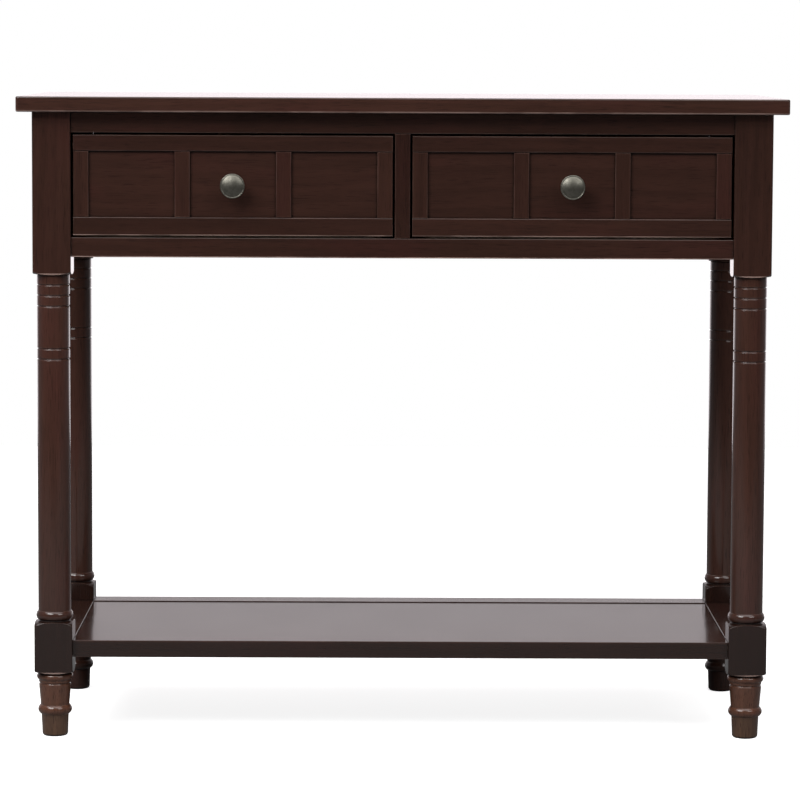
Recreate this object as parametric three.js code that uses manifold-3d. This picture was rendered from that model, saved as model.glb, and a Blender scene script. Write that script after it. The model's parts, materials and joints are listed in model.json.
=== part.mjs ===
// Console table with two side-by-side drawers, turned legs and a low framed shelf.
//
// Millimetres. X runs from left to right, Y from the front to the back and Z up from the floor.
// The origin is on the floor, under the middle of the tabletop. The drawers open towards -Y.
// Neighbouring pieces stand a hair's breadth apart, so that each stays a solid of its own.

import * as THREE from "three";
import { mergeVertices } from "three/addons/utils/BufferGeometryUtils.js";
import Module from "manifold-3d";

const wasm = await Module();
wasm.setup();

// ---------------------------------------------------------------- driving dimensions

const TABLE_WIDTH = 900;
const TABLE_DEPTH = 400;
const TABLE_HEIGHT = 757;
const JOINT_GAP = 0.3;

const TOP_THICKNESS = 18;
const TOP_EDGE_ROUNDING = 2;
const TOP_CORNER_RADIUS = 4;
const SIDE_OVERHANG = 17.5;
const FRONT_OVERHANG = 16;

// Legs: a square blank, turned between its two square blocks. Heights are above the floor.
const LEG_SIZE = 45;
const LEG_CORNER_RADIUS = 2;
const LEG_SHAFT_RADIUS = 19.3;
const LEG_NECK_RADIUS = 18.5;
const LEG_TURNING_SIDES = 18;
const SHOULDER_OUTER_RADIUS = 32.5;
const SHOULDER_STEPS = 3;
const UPPER_BLOCK_BASE = 548.5;
const UPPER_SHOULDER_HEIGHT = 6.5;
const LOWER_BLOCK = { base: 76.2, top: 138, baseShoulder: 7, topShoulder: 8.5 };
const UPPER_BEAD = { base: 138.9, top: 150, radius: 21.8 };
const BLOCK_RING = { base: 67.4, top: 75.4, radius: 21.5 };
const FOOT_BEAD = { base: 26, top: 37.4, radius: 20 };
const BEAD_STEPS = 4;
const FOOT = {
  topRadius: 19.2,
  beadTopRadius: 16.9,
  beadBaseRadius: 16.1,
  tipRadius: 15.2,
  tipRounding: 3.5,
};
const GROOVE_HEIGHTS = [449, 461.4, 511.4, 524, 536.5];
const GROOVE_HALF_WIDTH = 1.1;
const GROOVE_DEPTH = 1.2;

// Rails, aprons and drawer carcase.
const APRON_THICKNESS = 19;
const APRON_SETBACK = 3;
const APRON_BOTTOM = 569.6;
const FRONT_RAIL_SETBACK = 4;
const BOTTOM_RAIL_TOP = 592.6;
const TOP_RAIL_BOTTOM = 715;
const TOP_RAIL_DEPTH = 68;
const BOTTOM_RAIL_DEPTH = 60;
const DIVIDER_WIDTH = 17.8;
const DIVIDER_DEPTH = 20;
const RUNNER_BOTTOM = 577.6;
const RUNNER_GUIDE_TOP = 650;
const RUNNER_LEDGE = 13;
const RUNNER_CLEARANCE = 1.2;
const KICKER_WIDTH = 40;
const KICKER_BOTTOM = 708;
const CORNER_BLOCK_BOTTOM = 714;
const CORNER_BLOCK_REACH = 54;
const BOLT = { radius: 3, headRadius: 5.8, headHeight: 4, bite: 26 };

// Drawers.
const DRAWER_GAP = 2.6;
const DRAWER_HEIGHT = 117.6;
const DRAWER_BOTTOM = 595;
const DRAWER_SETBACK = 5;
const STRIP_THICKNESS = 4;
const STRIP_BEVEL = 0.8;
const PANEL_THICKNESS = 15;
const TOP_STRIP_HEIGHT = 19;
const BOTTOM_STRIP_HEIGHT = 21.5;
const STILE_WIDTH = 18;
const BOX_INSET = 0.7;
const BOX_THICKNESS = 12;
const BOX_TOP = 705;
const BOX_FLOOR = 600;
const BOX_FLOOR_THICKNESS = 5;
const BOX_GROOVE_DEPTH = 5;
const BOX_BACK_INSET = 3.4;
const STOP = { width: 24, thickness: 5.7, bottom: 660, top: 722, offset: 60 };

// Knob and its screw: radii and distances out from the drawer's recessed panel.
const KNOB = {
  baseRadius: 8,
  baseHeight: 1.6,
  neckRadius: 6,
  neckHeight: 10.5,
  radius: 14.5,
  rimHeight: 20.2,
  rimThickness: 1.7,
  domeRadius: 13.2,
  projection: 24.6,
  sides: 20,
};
const SCREW = { radius: 2, headRadius: 4, headHeight: 2.4, bite: 10 };

// Shelf: a frame of four rails round a slightly sunk board that lies on their ledges.
const SHELF_TOP = 115.7;
const SHELF_BOARD_DROP = 1;
const SHELF_THICKNESS = 20;
const SHELF_SETBACK = 8.5;
const SHELF_BOARD_THICKNESS = 12;
const SHELF_LEDGE = 10;

// ---------------------------------------------------------------- derived positions

const topUnderside = TABLE_HEIGHT - TOP_THICKNESS;
const carcaseTop = topUnderside - JOINT_GAP;
const legOuterX = TABLE_WIDTH / 2 - SIDE_OVERHANG;
const legInnerX = legOuterX - LEG_SIZE;
const legOuterY = TABLE_DEPTH / 2 - FRONT_OVERHANG;
const legInnerY = legOuterY - LEG_SIZE;
const legCentreX = legOuterX - LEG_SIZE / 2;
const legCentreY = legOuterY - LEG_SIZE / 2;

const railHalfLength = legInnerX - JOINT_GAP;
const sideHalfLength = legInnerY - JOINT_GAP;
const railFront = -legOuterY + FRONT_RAIL_SETBACK;
const topRailBack = railFront + TOP_RAIL_DEPTH;
const bottomRailBack = railFront + BOTTOM_RAIL_DEPTH;
const apronOuterX = legOuterX - APRON_SETBACK;
const apronInnerX = apronOuterX - APRON_THICKNESS;
const rearApronBack = legOuterY - APRON_SETBACK;
const rearApronFront = rearApronBack - APRON_THICKNESS;
const carcaseBack = rearApronFront - JOINT_GAP;

const drawerWidth = legInnerX - DIVIDER_WIDTH / 2 - 2 * DRAWER_GAP;
const drawerCentreX = DIVIDER_WIDTH / 2 + DRAWER_GAP + drawerWidth / 2;
const drawerTop = DRAWER_BOTTOM + DRAWER_HEIGHT;
const drawerMiddle = (DRAWER_BOTTOM + drawerTop) / 2;
const drawerFront = -legOuterY + DRAWER_SETBACK;
const panelFront = drawerFront + STRIP_THICKNESS;
const panelBack = panelFront + PANEL_THICKNESS;
const boxHalfWidth = drawerWidth / 2 - BOX_INSET;
const boxInnerHalfWidth = boxHalfWidth - BOX_THICKNESS;
const boxBottom = BOTTOM_RAIL_TOP + JOINT_GAP;
const boxSideFront = panelBack + JOINT_GAP;
const boxSideBack = carcaseBack - JOINT_GAP;
const boxBackRear = boxSideBack - BOX_BACK_INSET;
const boxBackFront = boxBackRear - BOX_THICKNESS;

const shelfBottom = SHELF_TOP - SHELF_THICKNESS;
const shelfBoardTop = SHELF_TOP - SHELF_BOARD_DROP;
const shelfBoardBottom = shelfBoardTop - SHELF_BOARD_THICKNESS;
const ledgeTop = shelfBoardBottom - JOINT_GAP;

// ---------------------------------------------------------------- materials

function finish(color, roughness, metalness = 0) {
  return new THREE.MeshStandardMaterial({ color, roughness, metalness });
}

const FINISHES = {
  espresso: () => finish(0x3b2520, 0.35),
  inner: () => finish(0x8a6242, 0.7),
  plywood: () => finish(0xa98a62, 0.75),
  pewter: () => finish(0x57554e, 0.3, 1),
  steel: () => finish(0x9a9a98, 0.4, 1),
};

// ---------------------------------------------------------------- shape helpers

const group = new THREE.Group();

function place(name, geometry, finishName) {
  const mesh = new THREE.Mesh(geometry, FINISHES[finishName]());
  mesh.name = name;
  group.add(mesh);
}

// A board between two opposite corners.
function board([x0, y0, z0], [x1, y1, z1]) {
  const geometry = new THREE.BoxGeometry(x1 - x0, y1 - y0, z1 - z0);
  return geometry.translate((x0 + x1) / 2, (y0 + y1) / 2, (z0 + z1) / 2);
}

function polygon(points) {
  return new THREE.Shape(points.map(([x, y]) => new THREE.Vector2(x, y)));
}

// An outline in the XY plane, standing from one height to another.
function prismUp(outline, bottom, top) {
  const geometry = new THREE.ExtrudeGeometry(outline, {
    depth: top - bottom,
    bevelEnabled: false,
    curveSegments: 3,
  });
  return geometry.translate(0, 0, bottom);
}

// A section drawn in (Y, Z), running along X from x0 to x1.
function prismAlongX(section, x0, x1) {
  const geometry = new THREE.ExtrudeGeometry(polygon(section), { depth: x1 - x0, bevelEnabled: false });
  return geometry.rotateX(Math.PI / 2).rotateZ(Math.PI / 2).translate(x0, 0, 0);
}

// A section drawn in (X, Z), running along Y from y0 to y1.
function prismAlongY(section, y0, y1) {
  const geometry = new THREE.ExtrudeGeometry(polygon(section), { depth: y1 - y0, bevelEnabled: false });
  return geometry.rotateX(Math.PI / 2).translate(0, y1, 0);
}

// A turned solid about the Z axis, from a profile of [radius, height] that climbs from the axis to the axis.
function turned(profile, sides) {
  const points = profile.map(([radius, height]) => new THREE.Vector2(radius, height));
  return new THREE.LatheGeometry(points, sides).rotateX(Math.PI / 2);
}

function roundedRectangle(halfWidth, halfDepth, radius) {
  const shape = new THREE.Shape();
  const x = halfWidth - radius;
  const y = halfDepth - radius;
  shape.absarc(x, -y, radius, -Math.PI / 2, 0);
  shape.absarc(x, y, radius, 0, Math.PI / 2);
  shape.absarc(-x, y, radius, Math.PI / 2, Math.PI);
  shape.absarc(-x, -y, radius, Math.PI, 1.5 * Math.PI);
  return shape;
}

function toSolid(geometry) {
  const bare = geometry.clone();
  bare.deleteAttribute("normal");
  bare.deleteAttribute("uv");
  const welded = mergeVertices(bare, 1e-4);
  const corners = welded.index.array;
  const kept = [];
  for (let i = 0; i < corners.length; i += 3) {
    const [a, b, c] = [corners[i], corners[i + 1], corners[i + 2]];
    if (a !== b && b !== c && c !== a) {
      kept.push(a, b, c);
    }
  }
  const mesh = new wasm.Mesh({
    numProp: 3,
    vertProperties: welded.attributes.position.array,
    triVerts: Uint32Array.from(kept),
  });
  return new wasm.Manifold(mesh);
}

function toGeometry(solid) {
  const mesh = solid.getMesh();
  const geometry = new THREE.BufferGeometry();
  geometry.setAttribute("position", new THREE.BufferAttribute(mesh.vertProperties, 3));
  geometry.setIndex(new THREE.BufferAttribute(mesh.triVerts, 1));
  return geometry;
}

function cut(geometry, ...tools) {
  let solid = toSolid(geometry);
  for (const tool of tools) {
    solid = solid.subtract(toSolid(tool));
  }
  return toGeometry(solid);
}

// ---------------------------------------------------------------- turned legs

function bead({ base, top, radius }, lowerNeck, upperNeck) {
  const points = [];
  for (let i = 0; i <= BEAD_STEPS; i += 1) {
    const angle = Math.PI * (i / BEAD_STEPS - 0.5);
    const neck = angle < 0 ? lowerNeck : upperNeck;
    const height = (base + top) / 2 + ((top - base) / 2) * Math.sin(angle);
    points.push([neck + (radius - neck) * Math.cos(angle), height]);
  }
  return points;
}

// The rounded turned end of a square block, from its neck out past the blank's corners.
function shoulder(neckHeight, rise) {
  const points = [];
  for (let i = 0; i <= SHOULDER_STEPS; i += 1) {
    const angle = (Math.PI / 2) * (i / SHOULDER_STEPS);
    const radius = LEG_NECK_RADIUS + (SHOULDER_OUTER_RADIUS - LEG_NECK_RADIUS) * Math.sin(angle);
    points.push([radius, neckHeight + rise * (1 - Math.cos(angle))]);
  }
  return points;
}

function legProfile() {
  const { topRadius, beadTopRadius, beadBaseRadius, tipRadius, tipRounding } = FOOT;
  const roundedTip = 0.3 * tipRounding;
  const grooves = GROOVE_HEIGHTS.flatMap((height) => [
    [LEG_SHAFT_RADIUS, height - GROOVE_HALF_WIDTH],
    [LEG_SHAFT_RADIUS - GROOVE_DEPTH, height],
    [LEG_SHAFT_RADIUS, height + GROOVE_HALF_WIDTH],
  ]);
  return [
    [0, 0],
    [tipRadius - tipRounding, 0],
    [tipRadius - roundedTip, roundedTip],
    [tipRadius, tipRounding],
    ...bead(FOOT_BEAD, beadBaseRadius, beadTopRadius),
    [topRadius, BLOCK_RING.base - JOINT_GAP],
    ...bead(BLOCK_RING, topRadius, LEG_NECK_RADIUS),
    ...shoulder(LOWER_BLOCK.base, LOWER_BLOCK.baseShoulder),
    ...shoulder(LOWER_BLOCK.top, -LOWER_BLOCK.topShoulder).reverse(),
    ...bead(UPPER_BEAD, LEG_NECK_RADIUS, LEG_SHAFT_RADIUS),
    ...grooves,
    [LEG_SHAFT_RADIUS, UPPER_BLOCK_BASE - GROOVE_HALF_WIDTH],
    ...shoulder(UPPER_BLOCK_BASE, UPPER_SHOULDER_HEIGHT),
    [SHOULDER_OUTER_RADIUS, carcaseTop],
    [0, carcaseTop],
  ];
}

function legAt(x, y) {
  const blank = prismUp(roundedRectangle(LEG_SIZE / 2, LEG_SIZE / 2, LEG_CORNER_RADIUS), -1, carcaseTop + 1);
  const turning = turned(legProfile(), LEG_TURNING_SIDES);
  return toGeometry(toSolid(blank).intersect(toSolid(turning))).translate(x, y, 0);
}

// ---------------------------------------------------------------- corner blocks and bolts

const boltHeight = (CORNER_BLOCK_BOTTOM + carcaseTop) / 2;

// The block's sloping face runs at 45 degrees, and the bolt stands square to it, aimed at the leg's axis.
const slopeSum = legInnerX + legInnerY - CORNER_BLOCK_REACH;
const slopeDistance = CORNER_BLOCK_REACH / Math.SQRT2;
const boltLength = slopeDistance + BOLT.bite;

// A turned piece with its foot on the sloping face, pointing at the rear leg on that side (-1 left, 1 right).
function aimedAtLeg(geometry, side) {
  const startX = legInnerX - slopeDistance / Math.SQRT2;
  const startY = legInnerY - slopeDistance / Math.SQRT2;
  return geometry
    .rotateX(-Math.PI / 2)
    .rotateZ((-side * Math.PI) / 4)
    .translate(side * startX, startY, boltHeight);
}

function bolt(side) {
  const { radius, headRadius, headHeight } = BOLT;
  const profile = [
    [0, 0],
    [radius, 0],
    [radius, boltLength],
    [0, boltLength],
  ];
  const shank = turned(profile, 12);
  const head = new THREE.CylinderGeometry(headRadius, headRadius, headHeight, 6).rotateX(Math.PI / 2);
  head.translate(0, 0, -headHeight / 2 - JOINT_GAP);
  const neck = turned([[0, -1], [radius, -1], [radius, 1], [0, 1]], 12);
  return aimedAtLeg(toGeometry(toSolid(shank).add(toSolid(neck)).add(toSolid(head))), side);
}

function boltHole(side) {
  const radius = BOLT.radius + JOINT_GAP;
  const profile = [
    [0, -5],
    [radius, -5],
    [radius, boltLength + 1],
    [0, boltLength + 1],
  ];
  return aimedAtLeg(turned(profile, 12), side);
}

function cornerBlock(side) {
  const innerX = legInnerX - JOINT_GAP;
  const innerY = legInnerY - JOINT_GAP;
  const outerX = apronInnerX - JOINT_GAP;
  const outline = [
    [outerX, slopeSum - outerX],
    [outerX, innerY],
    [innerX, innerY],
    [innerX, carcaseBack],
    [slopeSum - carcaseBack, carcaseBack],
  ];
  const sided = outline.map(([x, y]) => [side * x, y]);
  return cut(prismUp(polygon(sided), CORNER_BLOCK_BOTTOM, carcaseTop), boltHole(side));
}

// ---------------------------------------------------------------- table frame

function tabletop() {
  const outline = roundedRectangle(TABLE_WIDTH / 2, TABLE_DEPTH / 2, TOP_CORNER_RADIUS);
  const geometry = new THREE.ExtrudeGeometry(outline, {
    depth: TOP_THICKNESS - 2 * TOP_EDGE_ROUNDING,
    bevelThickness: TOP_EDGE_ROUNDING,
    bevelSize: TOP_EDGE_ROUNDING,
    bevelOffset: -TOP_EDGE_ROUNDING,
    bevelSegments: 2,
    curveSegments: 4,
  });
  return geometry.translate(0, 0, topUnderside + TOP_EDGE_ROUNDING);
}

function buildTopAndLegs() {
  place("tabletop", tabletop(), "espresso");
  for (const [sideName, side] of [["left", -1], ["right", 1]]) {
    place(`front_${sideName}_leg`, legAt(side * legCentreX, -legCentreY), "espresso");
    place(`rear_${sideName}_leg`, cut(legAt(side * legCentreX, legCentreY), boltHole(side)), "espresso");
    place(`rear_${sideName}_corner_block`, cornerBlock(side), "inner");
    place(`rear_${sideName}_corner_bolt`, bolt(side), "steel");
  }
}

// The divider and the partition behind it share one width, so each drawer runs between flush faces.
function partition() {
  const shelfFront = bottomRailBack + JOINT_GAP;
  const upperFront = topRailBack + JOINT_GAP;
  const tongueFront = railFront + DIVIDER_DEPTH + JOINT_GAP;
  const tongueBottom = BOTTOM_RAIL_TOP + JOINT_GAP;
  const tongueTop = TOP_RAIL_BOTTOM - JOINT_GAP;
  const section = [
    [tongueFront, tongueBottom],
    [shelfFront, tongueBottom],
    [shelfFront, RUNNER_BOTTOM],
    [carcaseBack, RUNNER_BOTTOM],
    [carcaseBack, carcaseTop],
    [upperFront, carcaseTop],
    [upperFront, tongueTop],
    [tongueFront, tongueTop],
  ];
  return prismAlongX(section, -DIVIDER_WIDTH / 2, DIVIDER_WIDTH / 2);
}

function buildCarcase() {
  const halfDivider = DIVIDER_WIDTH / 2;
  place(
    "front_top_rail",
    board([-railHalfLength, railFront, TOP_RAIL_BOTTOM], [railHalfLength, topRailBack, carcaseTop]),
    "espresso",
  );
  place(
    "front_bottom_rail",
    board([-railHalfLength, railFront, APRON_BOTTOM], [railHalfLength, bottomRailBack, BOTTOM_RAIL_TOP]),
    "espresso",
  );
  place(
    "front_divider",
    board(
      [-halfDivider, railFront, BOTTOM_RAIL_TOP + JOINT_GAP],
      [halfDivider, railFront + DIVIDER_DEPTH, TOP_RAIL_BOTTOM - JOINT_GAP],
    ),
    "espresso",
  );
  place(
    "rear_apron",
    board([-railHalfLength, rearApronFront, APRON_BOTTOM], [railHalfLength, rearApronBack, carcaseTop]),
    "espresso",
  );
  place(
    "left_apron",
    board([-apronOuterX, -sideHalfLength, APRON_BOTTOM], [-apronInnerX, sideHalfLength, carcaseTop]),
    "espresso",
  );
  place(
    "right_apron",
    board([apronInnerX, -sideHalfLength, APRON_BOTTOM], [apronOuterX, sideHalfLength, carcaseTop]),
    "espresso",
  );
  place("drawer_partition", partition(), "inner");
}

// The outer runner is an L: a ledge under the drawer's side, and a guide beside it between the leg blocks.
function outerRunner(side) {
  const guideX = drawerCentreX + boxHalfWidth + RUNNER_CLEARANCE;
  const outerX = apronInnerX - JOINT_GAP;
  const ledgeX = guideX - RUNNER_LEDGE;
  const ledgeFront = bottomRailBack + JOINT_GAP;
  const [low, high] = side < 0 ? [-guideX, -ledgeX] : [ledgeX, guideX];
  const [guideLow, guideHigh] = side < 0 ? [-outerX, -guideX] : [guideX, outerX];
  const ledge = board([low, ledgeFront, RUNNER_BOTTOM], [high, carcaseBack, BOTTOM_RAIL_TOP]);
  const guide = board([guideLow, ledgeFront, RUNNER_BOTTOM], [guideHigh, sideHalfLength, RUNNER_GUIDE_TOP]);
  return toGeometry(toSolid(ledge).add(toSolid(guide)));
}

function innerRunner(side) {
  const partitionX = DIVIDER_WIDTH / 2 + JOINT_GAP;
  const ledgeX = partitionX + RUNNER_LEDGE + 1;
  const [low, high] = side < 0 ? [-ledgeX, -partitionX] : [partitionX, ledgeX];
  return board([low, bottomRailBack + JOINT_GAP, RUNNER_BOTTOM], [high, carcaseBack, BOTTOM_RAIL_TOP]);
}

function kicker(side) {
  const centre = side * drawerCentreX;
  return board(
    [centre - KICKER_WIDTH / 2, topRailBack + JOINT_GAP, KICKER_BOTTOM],
    [centre + KICKER_WIDTH / 2, carcaseBack, carcaseTop],
  );
}

function buildDrawerSupports() {
  for (const [sideName, side] of [["left", -1], ["right", 1]]) {
    place(`${sideName}_outer_runner`, outerRunner(side), "inner");
    place(`${sideName}_inner_runner`, innerRunner(side), "inner");
    place(`${sideName}_kicker`, kicker(side), "inner");
  }
}

// ---------------------------------------------------------------- shelf

// Section of a shelf rail with a ledge for the board: "out" is the rail's outer edge, "shoulder" where the
// board meets it and "tip" the end of the ledge, all along the section's first axis.
function shelfRailSection(out, shoulderAt, tip) {
  return [
    [out, shelfBottom],
    [tip, shelfBottom],
    [tip, ledgeTop],
    [shoulderAt, ledgeTop],
    [shoulderAt, SHELF_TOP],
    [out, SHELF_TOP],
  ];
}

function buildShelf() {
  const outerY = legOuterY - SHELF_SETBACK;
  const outerX = legOuterX - SHELF_SETBACK;
  const shoulderX = railHalfLength;
  const shoulderY = legInnerY;
  const tipX = shoulderX - SHELF_LEDGE;
  const tipY = shoulderY - SHELF_LEDGE;
  const boardHalfX = shoulderX - JOINT_GAP;
  const boardHalfY = shoulderY - JOINT_GAP;
  const sideRun = sideHalfLength;
  const ledgeCut = tipY - JOINT_GAP;

  place(
    "shelf_board",
    board([-boardHalfX, -boardHalfY, shelfBoardBottom], [boardHalfX, boardHalfY, shelfBoardTop]),
    "espresso",
  );
  for (const [name, side] of [["front", -1], ["rear", 1]]) {
    const section = shelfRailSection(side * outerY, side * shoulderY, side * tipY);
    place(`shelf_${name}_rail`, prismAlongX(section, -railHalfLength, railHalfLength), "espresso");
  }
  for (const [name, side] of [["left", -1], ["right", 1]]) {
    const section = shelfRailSection(side * outerX, side * (shoulderX + JOINT_GAP), side * tipX);
    const rail = prismAlongY(section, -sideRun, sideRun);
    const notchX = side * (tipX - 1);
    const shoulderCutX = side * (shoulderX + JOINT_GAP);
    const [low, high] = side < 0 ? [shoulderCutX, notchX] : [notchX, shoulderCutX];
    const frontNotch = board([low, -sideRun - 1, shelfBottom - 1], [high, -ledgeCut, SHELF_TOP + 1]);
    const rearNotch = board([low, ledgeCut, shelfBottom - 1], [high, sideRun + 1, SHELF_TOP + 1]);
    place(`shelf_${name}_rail`, cut(rail, frontNotch, rearNotch), "espresso");
  }
}

// ---------------------------------------------------------------- drawers

// A flat strip on the drawer's face, with its two long front edges bevelled.
function faceStrip([x0, z0], [x1, z1], alongX) {
  const front = drawerFront;
  const back = panelFront - JOINT_GAP;
  if (alongX) {
    const section = [
      [back, z0],
      [back, z1],
      [front + STRIP_BEVEL, z1],
      [front, z1 - STRIP_BEVEL],
      [front, z0 + STRIP_BEVEL],
      [front + STRIP_BEVEL, z0],
    ];
    return prismAlongX(section, x0, x1);
  }
  const outline = [
    [x0, back],
    [x0, front + STRIP_BEVEL],
    [x0 + STRIP_BEVEL, front],
    [x1 - STRIP_BEVEL, front],
    [x1, front + STRIP_BEVEL],
    [x1, back],
  ];
  return prismUp(polygon(outline), z0, z1);
}

// A turned piece that stands out of the drawer's face, its height measured out from the recessed panel.
function outOfPanel(geometry, centre) {
  return geometry.rotateX(Math.PI / 2).translate(centre, panelFront, drawerMiddle);
}

function knob(centre) {
  const { baseRadius, baseHeight, neckRadius, neckHeight, radius, rimHeight, rimThickness } = KNOB;
  const { domeRadius, projection, sides } = KNOB;
  const seat = JOINT_GAP;
  const profile = [
    [0, seat],
    [baseRadius, seat],
    [baseRadius, baseHeight],
    [neckRadius, baseHeight + 1.4],
  ];
  const flareSteps = 4;
  for (let i = 0; i <= flareSteps; i += 1) {
    const angle = (Math.PI / 2) * (i / flareSteps);
    const flareRadius = radius - (radius - neckRadius) * Math.cos(angle);
    profile.push([flareRadius, neckHeight + (rimHeight - neckHeight) * Math.sin(angle)]);
  }
  // The head's face is a shallow dome inside the rim: an arc of a sphere.
  const domeBase = rimHeight + rimThickness;
  const domeRise = projection - domeBase;
  const sphereRadius = (domeRadius ** 2 + domeRise ** 2) / (2 * domeRise);
  const domeAngle = Math.asin(domeRadius / sphereRadius);
  profile.push([radius, domeBase]);
  const domeSteps = 5;
  for (let i = 0; i <= domeSteps; i += 1) {
    const angle = domeAngle * (1 - i / domeSteps);
    profile.push([sphereRadius * Math.sin(angle), projection - sphereRadius * (1 - Math.cos(angle))]);
  }
  const holeRadius = SCREW.radius + JOINT_GAP;
  const holeEnd = SCREW.bite + 1;
  const hole = turned([[0, -1], [holeRadius, -1], [holeRadius, holeEnd], [0, holeEnd]], 12);
  return outOfPanel(cut(turned(profile, sides), hole), centre);
}

function knobScrew(centre) {
  const { radius, headRadius, headHeight, bite } = SCREW;
  const headTop = -PANEL_THICKNESS - JOINT_GAP;
  const profile = [
    [0, headTop - headHeight],
    [headRadius - 1, headTop - headHeight],
    [headRadius, headTop - headHeight + 1],
    [headRadius, headTop],
    [radius, headTop],
    [radius, bite],
    [0, bite],
  ];
  return outOfPanel(turned(profile, 12), centre);
}

// The drawer front's board: a slot for the drawer's floor behind, and a hole for the knob's screw.
function drawerPanel(centre) {
  const half = drawerWidth / 2;
  const slotHalf = boxInnerHalfWidth + BOX_GROOVE_DEPTH + JOINT_GAP;
  const slot = board(
    [centre - slotHalf, panelBack - BOX_GROOVE_DEPTH - JOINT_GAP, BOX_FLOOR - JOINT_GAP],
    [centre + slotHalf, panelBack + 1, BOX_FLOOR + BOX_FLOOR_THICKNESS + JOINT_GAP],
  );
  const holeRadius = SCREW.radius + JOINT_GAP;
  const holeEnd = -PANEL_THICKNESS - 1;
  const hole = outOfPanel(turned([[0, holeEnd], [holeRadius, holeEnd], [holeRadius, 1], [0, 1]], 12), centre);
  const blank = board([centre - half, panelFront, DRAWER_BOTTOM], [centre + half, panelBack, drawerTop]);
  return cut(blank, slot, hole);
}

// A drawer side with the groove that holds the floor's edge.
function drawerSide(centre, side) {
  const outer = centre + side * boxHalfWidth;
  const inner = centre + side * boxInnerHalfWidth;
  const grooveEnd = inner + side * (BOX_GROOVE_DEPTH + JOINT_GAP);
  const grooveBottom = BOX_FLOOR - JOINT_GAP;
  const grooveTop = BOX_FLOOR + BOX_FLOOR_THICKNESS + JOINT_GAP;
  const section = [
    [outer, boxBottom],
    [inner, boxBottom],
    [inner, grooveBottom],
    [grooveEnd, grooveBottom],
    [grooveEnd, grooveTop],
    [inner, grooveTop],
    [inner, BOX_TOP],
    [outer, BOX_TOP],
  ];
  return prismAlongY(section, boxSideFront, boxSideBack);
}

function buildDrawerFace(name, centre) {
  const half = drawerWidth / 2;
  const stripBottom = DRAWER_BOTTOM + BOTTOM_STRIP_HEIGHT;
  const stripTop = drawerTop - TOP_STRIP_HEIGHT;
  place(
    `${name}_face_top_rail`,
    faceStrip([centre - half, stripTop], [centre + half, drawerTop], true),
    "espresso",
  );
  place(
    `${name}_face_bottom_rail`,
    faceStrip([centre - half, DRAWER_BOTTOM], [centre + half, stripBottom], true),
    "espresso",
  );
  const pitch = (drawerWidth - STILE_WIDTH) / 3;
  const uprights = ["left_stile", "left_mullion", "right_mullion", "right_stile"];
  uprights.forEach((upright, index) => {
    const x = centre - half + index * pitch;
    place(
      `${name}_face_${upright}`,
      faceStrip([x, stripBottom + JOINT_GAP], [x + STILE_WIDTH, stripTop - JOINT_GAP], false),
      "espresso",
    );
  });
}

function buildDrawer(name, centre) {
  buildDrawerFace(name, centre);
  place(`${name}_front_panel`, drawerPanel(centre), "espresso");
  place(`${name}_left_side`, drawerSide(centre, -1), "inner");
  place(`${name}_right_side`, drawerSide(centre, 1), "inner");
  const backHalf = boxInnerHalfWidth - JOINT_GAP;
  const backBottom = BOX_FLOOR + BOX_FLOOR_THICKNESS + JOINT_GAP;
  place(
    `${name}_back`,
    board([centre - backHalf, boxBackFront, backBottom], [centre + backHalf, boxBackRear, BOX_TOP]),
    "inner",
  );
  const floorHalf = boxInnerHalfWidth + BOX_GROOVE_DEPTH;
  place(
    `${name}_floor`,
    board(
      [centre - floorHalf, panelBack - BOX_GROOVE_DEPTH, BOX_FLOOR],
      [centre + floorHalf, boxBackRear, BOX_FLOOR + BOX_FLOOR_THICKNESS],
    ),
    "plywood",
  );
  const stopX = centre + STOP.offset;
  const stopBack = boxBackFront - JOINT_GAP;
  place(
    `${name}_stop`,
    board(
      [stopX - STOP.width / 2, stopBack - STOP.thickness, STOP.bottom],
      [stopX + STOP.width / 2, stopBack, STOP.top],
    ),
    "inner",
  );
  place(`${name}_knob`, knob(centre), "pewter");
  place(`${name}_knob_screw`, knobScrew(centre), "steel");
}

// ---------------------------------------------------------------- the whole table

buildTopAndLegs();
buildCarcase();
buildDrawerSupports();
buildShelf();
buildDrawer("left_drawer", -drawerCentreX);
buildDrawer("right_drawer", drawerCentreX);

export default group;
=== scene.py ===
"""Looks of the console table: dark lacquered wood, plain inner wood, pewter knobs and zinc fasteners.

Metres, in the CAD frame: X to the right, Y to the back, Z up. Each CAD node is replaced by a finer piece
of the same size and place: turned pieces are made from their profiles, and boards get their edges eased.
"""

import json
import math
import random

import bmesh
import bpy
from mathutils import Matrix, Vector


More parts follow.
